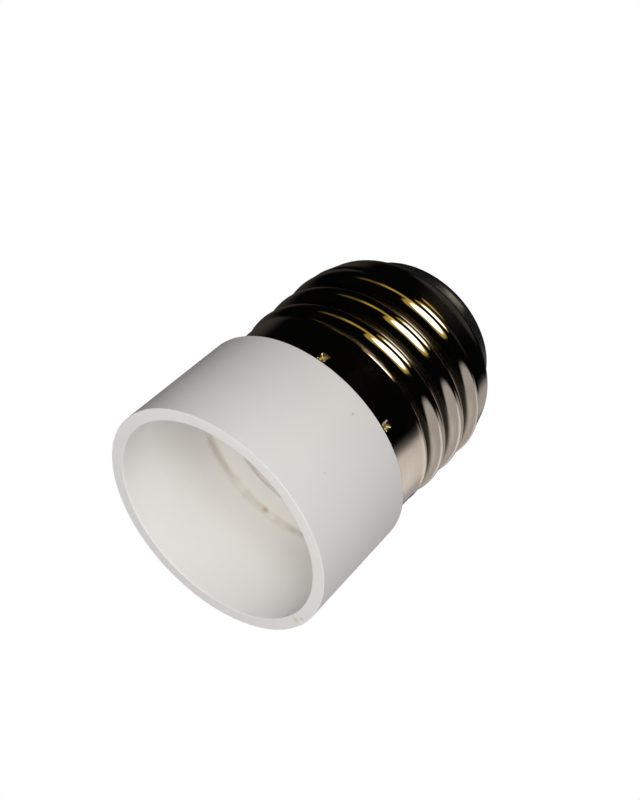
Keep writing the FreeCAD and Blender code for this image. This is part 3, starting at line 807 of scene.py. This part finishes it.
# %% Starting a finish
class Finish:
    """A new material with its shader, and the place on the object in millimetres."""

    def __init__(self, name, **settings):
        self.material = bpy.data.materials.new(name)
        self.material.use_nodes = True
        self.tree = self.material.node_tree
        self.shader = self.tree.nodes["Principled BSDF"]
        self.set(**settings)
        place = add_node(self.tree, "TexCoord").outputs["Object"]
        scaled = add_node(self.tree, "Mapping", Vector=place, Scale=(1 / MM, 1 / MM, 1 / MM))
        self.place = scaled.outputs["Vector"]
        self.normal = None

    def set(self, **settings):
        """Values or outputs for the shader's sockets, by their names."""
        for name, value in settings.items():
            feed(self.tree, self.shader.inputs[name.replace("_", " ")], value)

    def use(self, group, **settings):
        """What a group puts out when it is fed with the place."""
        return add_node(self.tree, "Group", node_tree=group, Vector=self.place, **settings).outputs[0]

    def mix(self, share, first, second):
        """A colour between two others by a share: the node's inputs 0, 6 and 7, each a value or an output."""
        node = add_node(self.tree, "Mix", data_type="RGBA")
        for number, value in ((0, share), (6, first), (7, second)):
            feed(self.tree, node.inputs[number], value)
        return node.outputs[2]

    def bump(self, height, strength, distance):
        """A bump of that height on the shader's normal, on top of the bump before it."""
        node = add_node(self.tree, "Bump", Strength=strength, Distance=distance, Height=height)
        if self.normal:
            feed(self.tree, node.inputs["Normal"], self.normal)
        self.normal = node.outputs["Normal"]
        self.set(Normal=self.normal)


# %% [markdown]
# ## Satin white plastic
#
# The moulding is a white thermoset with a satin skin. It isn't evenly white: the powder it is pressed from
# leaves faint clouds. Its skin carries a very fine grain that takes the shine off, and handling has left a
# few marks: two grey specks on the outside, a chipped yellowish spot on the rim, and dirt where the wall
# meets the floor. That corner and the edge of the lip's recess are also darkened with painted shade. The
# marks are at named places, by angle and height, so that they stay where they are whatever the view. The
# depth of the cup is also painted a little darker and warmer than its mouth, as painted shade and warm
# bounced light. A ramp over the height does that, strong inside the cup and weak outside.

# %% Places on the cup
def on_cup(radius, degrees, height):
    """A place on the cup from its radius, its angle from -Y towards +X, and its height."""
    angle = math.radians(degrees)
    return (radius * math.sin(angle), -radius * math.cos(angle), height)


CUP_MARKS = [
    # place, size in mm, raggedness, colour
    (on_cup(13.96, 6.4, 12.6), 0.34, 0.22, (0.30, 0.30, 0.34, 1)),
    (on_cup(14.16, 16.2, 5.2), 0.22, 0.16, (0.42, 0.40, 0.38, 1)),
    (on_cup(13.50, 96.5, 0.0), 0.95, 0.5, (0.66, 0.62, 0.36, 1)),
    (on_cup(13.75, 92.0, 0.0), 0.6, 0.4, (0.60, 0.55, 0.42, 1)),
    (on_cup(12.75, 101.7, 0.35), 0.42, 0.26, (0.42, 0.36, 0.32, 1)),
    (on_cup(12.55, 166.6, 13.5), 0.75, 0.35, (0.36, 0.30, 0.06, 1)),
    (on_cup(12.77, 142.2, 13.5), 0.72, 0.45, (0.30, 0.29, 0.30, 1)),
    (on_cup(12.78, 179.0, 13.5), 1.60, 0.80, (0.56, 0.54, 0.43, 1)),
    (on_cup(12.60, -171.0, 13.5), 1.20, 0.70, (0.60, 0.58, 0.49, 1)),
    (on_cup(12.60, 158.0, 13.5), 1.20, 0.70, (0.58, 0.54, 0.46, 1)),
]
CUP_SHADE_AND_DIRT_RINGS = [
    # radius, height, width in mm, colour: painted shade with some dirt where the wall meets the floor, and
    # painted shade at the edge of the lip's recess
    (12.68, 13.42, 0.75, (0.52, 0.48, 0.41, 1)),
    (8.75, 13.60, 0.32, (0.55, 0.50, 0.44, 1)),
]
PLASTIC = (0.868, 0.846, 0.824, 1)
PLASTIC_CLOUD = (0.85, 0.826, 0.80, 1)
PLASTIC_DEPTH_SHADE = (0.75, 0.725, 0.682, 1)
DEPTH_START, DEPTH_END = 3.0, 15.5
DEPTH_INSIDE, DEPTH_OUTSIDE = (13.2, 0.95), (13.6, 0.35)


def white_plastic():
    """Satin white with faint clouds, painted shade deep in the cup and in its corners, fine grain and the
    marks of handling.
    """
    finish = Finish("white_moulding", Specular_IOR_Level=0.4)
    tree, place = finish.tree, finish.place
    level = add_node(tree, "SeparateXYZ", place).outputs["Z"]
    # Painted shade and warm bounced light: the plastic is darker and warmer deep inside the cup
    most = mapped(tree, from_axis(tree, place), DEPTH_INSIDE, DEPTH_OUTSIDE)
    depth = mapped(tree, level, (DEPTH_START, 0.0), (DEPTH_END, most), smooth=True)
    colour = finish.mix(finish.use(CLOUDS, Scale=0.16), PLASTIC, PLASTIC_CLOUD)
    colour = finish.mix(depth, colour, PLASTIC_DEPTH_SHADE)
    # Painted shade, with some dirt, in the corner of wall and floor and along the edge of the lip's recess
    for radius, height, width, dirt_and_shade in CUP_SHADE_AND_DIRT_RINGS:
        colour = finish.mix(finish.use(SHADE_AND_DIRT_RING, Radius=radius, Height=height, Width=width), colour, dirt_and_shade)
    for spot, size, ragged, dirt_and_shade in CUP_MARKS:
        colour = finish.mix(finish.use(SPOT, Centre=spot, Size=size, Ragged=ragged), colour, dirt_and_shade)
    finish.set(Base_Color=colour, Roughness=finish.use(CLOUDS, Scale=0.9, Low=0.36, High=0.5))
    finish.bump(finish.use(CLOUDS, Scale=0.35), 0.25, 0.02 * MM)
    finish.bump(finish.use(CLOUDS, Scale=9.0), 0.35, 0.006 * MM)
    return finish.material


moulding.data.materials.append(white_plastic())

# %% [markdown]
# ## Bright nickel plate
#
# The caps are brass sheet with bright nickel on it. Nickel is a warm grey metal, and in a mirror finish its
# colour is nearly all reflection. What makes it look real is how little it is perfect: rolling leaves faint
# lines round the axis, and fingers leave clouds of softer shine. The two masks do the rest: at the stakes the
# brass shows through in ragged flecks, and the roots of the thread are rougher and painted dark, as painted
# shade.

# %% Nickel finishes
NICKEL = (0.66, 0.615, 0.55, 1.0)
NICKEL_DULL = (0.58, 0.53, 0.46, 1.0)
BRASS_FLECK = (0.9, 0.63, 0.06, 1.0)
ROOT_SHADE_COLOUR = (0.09, 0.078, 0.06, 1.0)
ROOT_ROUGHNESS = 0.22
BRASS_SHARE = 0.75


def nickel_plate(name, shine, staked):
    """Bright nickel with clouds and rolling lines, and on the cap also with painted shade at the thread's
    roots and brass at the stakes.
    """
    finish = Finish(name, Metallic=1.0)
    tree = finish.tree
    colour = finish.mix(finish.use(CLOUDS, Scale=0.22), NICKEL, NICKEL_DULL)
    softness = finish.use(CLOUDS, Scale=0.5, Low=shine, High=shine + 0.04)
    if staked:
        root_shade, torn_plate = (add_node(tree, "Attribute", attribute_name=mask).outputs["Fac"]
                             for mask in ("root_shade", "torn_plate"))
        flecks = finish.use(CLOUDS, Scale=2.6, Low=-0.2, High=1.6)
        brass = maths(tree, "MULTIPLY", torn_plate, flecks, use_clamp=True)
        # At the thread's roots the plate is made rougher and painted dark, as painted shade
        softness = maths(tree, "MULTIPLY_ADD", root_shade, ROOT_ROUGHNESS, softness)
        plated = maths(tree, "MULTIPLY_ADD", brass, -BRASS_SHARE, 1.0)
        colour = finish.mix(brass, finish.mix(root_shade, colour, ROOT_SHADE_COLOUR), BRASS_FLECK)
        finish.set(Metallic=plated)
    finish.set(Base_Color=colour, Roughness=softness)
    finish.bump(finish.use(LINES, Lines=5.0), 0.12, 0.004 * MM)
    finish.bump(finish.use(CLOUDS, Scale=1.2), 0.15, 0.006 * MM)
    return finish.material


metal_cap.data.materials.append(nickel_plate("nickel_plate", 0.04, staked=True))
socket_shell.data.materials.append(nickel_plate("nickel_plate_inner", 0.16, staked=False))

# %% [markdown]
# ## Insulation, brass, sleeve and tinned wire
#
# The insulator is glossy black with the slight orange-peel of a moulded skin. The contact and the rivets are
# bare brass that has dulled in patches, with turning lines on the contact. The lead under the collar wears a
# matt sleeve, and the short lead to the contact is bare tinned wire.

# %% Other finishes
def black_insulation():
    """Glossy black with a faint orange-peel."""
    finish = Finish("insulation", Specular_IOR_Level=0.5)
    colour = finish.mix(finish.use(CLOUDS, Scale=0.4), (0.014, 0.014, 0.015, 1), (0.03, 0.029, 0.028, 1))
    finish.set(Base_Color=colour, Roughness=finish.use(CLOUDS, Scale=0.8, Low=0.16, High=0.32))
    finish.bump(finish.use(CLOUDS, Scale=1.6), 0.2, 0.02 * MM)
    return finish.material


def dull_metal(name, bright, dull, shine, lines):
    """Bare metal with dull patches and turning or rolling lines."""
    finish = Finish(name, Metallic=1.0)
    finish.set(Base_Color=finish.mix(finish.use(CLOUDS, Scale=0.7), bright + (1,), dull + (1,)),
               Roughness=finish.use(CLOUDS, Scale=1.1, Low=shine, High=shine + 0.16))
    finish.bump(finish.use(LINES, Lines=lines), 0.2, 0.01 * MM)
    finish.bump(finish.use(CLOUDS, Scale=3.0), 0.15, 0.01 * MM)
    return finish.material


def lead_sleeve():
    """Matt dark sleeve with a fine woven unevenness."""
    finish = Finish("lead_sleeve", Roughness=0.75, Specular_IOR_Level=0.3)
    colour = finish.mix(finish.use(CLOUDS, Scale=1.5), (0.05, 0.05, 0.052, 1), (0.1, 0.098, 0.095, 1))
    finish.set(Base_Color=colour)
    finish.bump(finish.use(CLOUDS, Scale=7.0), 0.4, 0.03 * MM)
    return finish.material


contact_brass = dull_metal("contact_brass", (0.86, 0.68, 0.36), (0.62, 0.46, 0.22), 0.2, 4.0)
rivet_brass = dull_metal("rivet_brass", (0.8, 0.63, 0.34), (0.56, 0.43, 0.22), 0.26, 3.0)
spring_brass = dull_metal("spring_brass", (0.88, 0.7, 0.38), (0.7, 0.53, 0.27), 0.18, 2.0)
tinned_wire = dull_metal("tinned_wire", (0.7, 0.69, 0.67), (0.5, 0.49, 0.47), 0.3, 2.0)
insulator.data.materials.append(black_insulation())
for piece in (contact, pin):
    piece.data.materials.append(contact_brass)
kept_nodes = {"shell_rivet": rivet_brass, "contact_rivet": rivet_brass, "contact_tongue": spring_brass,
              "side_lead": lead_sleeve(), "centre_lead": tinned_wire}
for node, material in kept_nodes.items():
    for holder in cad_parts[node].material_slots:
        holder.material = material
print("finishes:", sorted(material.name for material in bpy.data.materials if material.users))

# %% [markdown]
# ## Floor and white surroundings
#
# The adapter stands on a pale floor that takes its shadow. The first view looks up through that floor, so the
# floor is clear from behind, and it is seen by the camera alone. Its glow is weak under the object, where it
# must show the shadow, and grows with the distance until it meets the white behind it. That white is the
# world's colour for the rays that look at it. What lights the plastic is much weaker, so that white plastic
# keeps its shading.

# %% Floor
FLOOR_RADIUS = 0.9
FLOOR_DROP = 0.00004
FLOOR_SIDES = 96
FLOOR_WHITE = (0.9, 0.9, 0.9, 1)
GLOW_NEAR, GLOW_FAR = (0.03, 0.42), (0.3, 1.0)


def empty_material(name):
    """A new material with nothing but its output, and the socket of its surface."""
    material = bpy.data.materials.new(name)
    material.use_nodes = True
    tree = material.node_tree
    tree.nodes.clear()
    return material, tree, add_node(tree, "OutputMaterial").inputs["Surface"]


def half_seen(name, points, faces, material, hidden_from):
    """A mesh that some kinds of rays don't see."""
    mesh = bpy.data.meshes.new(name)
    mesh.from_pydata(points.tolist(), [], faces.tolist())
    mesh.materials.append(material)
    piece = bpy.data.objects.new(name, mesh)
    bpy.context.collection.objects.link(piece)
    for kind in hidden_from:
        setattr(piece, "visible_" + kind, False)
    return piece


def pale_floor():
    """A disc just below the rim: white that takes shadows from above and is clear from below."""
    material, tree, surface = empty_material("floor_white")
    away = add_node(tree, "VectorMath", add_node(tree, "TexCoord").outputs["Object"], operation="LENGTH")
    fade = mapped(tree, away.outputs["Value"], GLOW_NEAR, GLOW_FAR, smooth=True)
    white = add_node(tree, "BsdfDiffuse", Color=FLOOR_WHITE)
    glow = add_node(tree, "Emission", Strength=fade)
    both = add_node(tree, "AddShader", white.outputs[0], glow.outputs[0])
    below = add_node(tree, "NewGeometry").outputs["Backfacing"]
    choice = add_node(tree, "MixShader", below, both.outputs[0], add_node(tree, "BsdfTransparent").outputs[0])
    tree.links.new(choice.outputs[0], surface)
    disc = rings_of(FLOOR_RADIUS, -FLOOR_DROP, columns(FLOOR_SIDES))
    floor = half_seen("floor", disc, np.arange(FLOOR_SIDES)[None, :], material,
                      ("diffuse", "glossy", "transmission", "shadow"))


pale_floor()

# %% White world
WORLD_STRENGTH = {"Is Camera Ray": 1.0, "Is Transmission Ray": 1.0, "Is Glossy Ray": 0.62,
                  "Is Diffuse Ray": 0.09}


def white_world():
    """White surroundings, as strong as the sum of the strengths, each times the flag of its kind of ray."""
    world = bpy.data.worlds.new("white")
    bpy.context.scene.world = world
    world.use_nodes = True
    tree = world.node_tree
    background = tree.nodes["Background"]
    background.inputs["Color"].default_value = (1, 1, 1, 1)
    rays = add_node(tree, "LightPath").outputs
    total = 0.0
    for flag, strength in WORLD_STRENGTH.items():
        total = maths(tree, "MULTIPLY_ADD", rays[flag], strength, total)
    feed(tree, background.inputs["Strength"], total)


white_world()

# %% [markdown]
# ## Lamps
#
# One large soft lamp near the viewer does most of the work, with a weak one to its right. Two more at the
# back give the floor its light and the rear its shape. All are hidden from reflections, because in the plate
# they would be plain squares. A lamp's level is set by what it does to a white card that faces it: the power
# that gives the card a level of 1 is pi squared times the distance squared, in watts.

# %% Soft lamps
TARGET = Vector((0, 0, 0.018))


def direction(azimuth, elevation):
    """Unit vector at an angle from -Y towards +X and an elevation above the floor, both in degrees."""
    around, up = math.radians(azimuth), math.radians(elevation)
    return Vector((math.sin(around) * math.cos(up), -math.cos(around) * math.cos(up), math.sin(up)))


def soft_lamp(name, azimuth, elevation, distance, size, level):
    """A square lamp that lights a card at the target to the given level."""
    data = bpy.data.lights.new(name, "AREA")
    data.size = size
    data.energy = level * (math.pi * distance) ** 2
    lamp = bpy.data.objects.new(name, data)
    towards = direction(azimuth, elevation)
    turn = towards.to_track_quat("Z", "Y").to_matrix().to_4x4()
    lamp.matrix_world = Matrix.Translation(TARGET + towards * distance) @ turn
    lamp.visible_glossy = False
    bpy.context.collection.objects.link(lamp)
    print(f"{name}: {data.energy:.2f} W")


soft_lamp("key", azimuth=-6, elevation=-43, distance=0.32, size=0.26, level=1.04)
soft_lamp("side_fill", azimuth=84, elevation=-28, distance=0.5, size=0.3, level=0.27)
soft_lamp("back", azimuth=178, elevation=50, distance=0.5, size=0.4, level=0.85)
soft_lamp("rear_fill", azimuth=174, elevation=14, distance=0.5, size=0.35, level=0.55)

# %% [markdown]
# ## What the plate reflects
#
# Polished plate shows its surroundings, so those are built too: a dark room, painted on the inside of a
# sphere that only reflections see. A window with a golden edge draws the long bright lenses along the thread,
# and a pale wall to the right gives the beige flanks. Real edges are soft, so each patch of light fades over
# some degrees. The patches could be flat lamps of their own, but then every one of them would end in a hard
# line on the metal.

# %% A dark room with a window and a pale wall
ROOM_RADIUS = 0.8
ROOM_COLUMNS, ROOM_ROWS = 241, 121
ROOM_DARK = 0.002
GOLD = (1.0, 0.7, 0.14)
DAYLIGHT = (1.0, 0.97, 0.9)
PALE = (1.0, 0.92, 0.88)
ROOM_LIGHTS = [
    # what it is, azimuth and half width, elevation and half height, corner power, softness, colour, strength
    ("window below", (-3, 19), (7, 16), 2.4, 0.12, DAYLIGHT, 2.8),
    ("window above", (-2, 19), (54, 9), 2.4, 0.15, DAYLIGHT, 2.6),
    ("golden edge below", (-4, 25), (3.5, 21.5), 4, 0.05, GOLD, 0.5),
    ("golden edge above", (-4, 25), (55, 12.5), 4, 0.06, GOLD, 0.5),
    ("golden curtain", (-34, 22), (20, 6), 3, 0.3, GOLD, 0.5),
    ("far curtain", (-60, 16), (16, 6), 3, 0.4, GOLD, 0.14),
    ("pale wall", (107, 57), (4, 34), 2.6, 0.1, PALE, 0.52),
    ("pale wall above", (122, 40), (40, 14), 6, 0.16, PALE, 0.42),
    ("pale wall below", (128, 38), (-40, 38), 6, 0.35, PALE, 0.16),
    ("grey ceiling", (0, 400), (90, 18), 8, 0.3, PALE, 0.045),
    ("dim side", (-158, 32), (5, 50), 4, 0.4, (1.0, 0.85, 0.7), 0.045),
]


def light_share(around, up, azimuth, elevation, power, softness):
    """How much of a light comes from a direction: 1 inside its outline, 0 outside, soft between.

    The distance is the sum of both offsets, each as a share of its half size and raised to the power, and
    then the root of that power. A power of 2 gives an oval, and a large power a rectangle with small corners.
    """
    across = np.abs(around - azimuth[0]) / azimuth[1]
    along = np.abs(up - elevation[0]) / elevation[1]
    distance = (across ** power + along ** power) ** (1 / power)
    return 1 - smooth_step(distance, 1 - softness, 1 + softness)


def reflected_room():
    """Sphere whose points carry the light that comes from their direction: the sum of the lights."""
    around = np.linspace(-180, 180, ROOM_COLUMNS)[None, :]
    up = np.linspace(-90, 90, ROOM_ROWS)[:, None]
    light = np.full((ROOM_ROWS, ROOM_COLUMNS, 4), ROOM_DARK)
    for _, azimuth, elevation, power, softness, colour, strength in ROOM_LIGHTS:
        share = light_share(around, up, azimuth, elevation, power, softness)
        light[..., :3] += strength * share[..., None] * np.array(colour)
    light[..., 3] = 1
    material, tree, surface = empty_material("reflected_room")
    painted = add_node(tree, "Attribute", attribute_name="light")
    glow = add_node(tree, "Emission", Color=painted.outputs["Color"])
    tree.links.new(glow.outputs[0], surface)
    places = rings_of(np.cos(np.radians(up)), np.sin(np.radians(up)), np.radians(around)) * ROOM_RADIUS
    here = np.arange(ROOM_ROWS * ROOM_COLUMNS).reshape(ROOM_ROWS, ROOM_COLUMNS)[:-1, :-1].ravel()
    above = here + ROOM_COLUMNS
    room = half_seen("reflected_room", places.reshape(-1, 3) + np.array(TARGET),
                     np.stack([here, here + 1, above + 1, above], axis=-1), material,
                     ("camera", "diffuse", "transmission", "shadow"))
    painting = room.data.attributes.new("light", "FLOAT_COLOR", "POINT")
    painting.data.foreach_set("color", light.astype(np.float32).ravel())


reflected_room()
print("lights in the reflected room:", [light[0] for light in ROOM_LIGHTS])
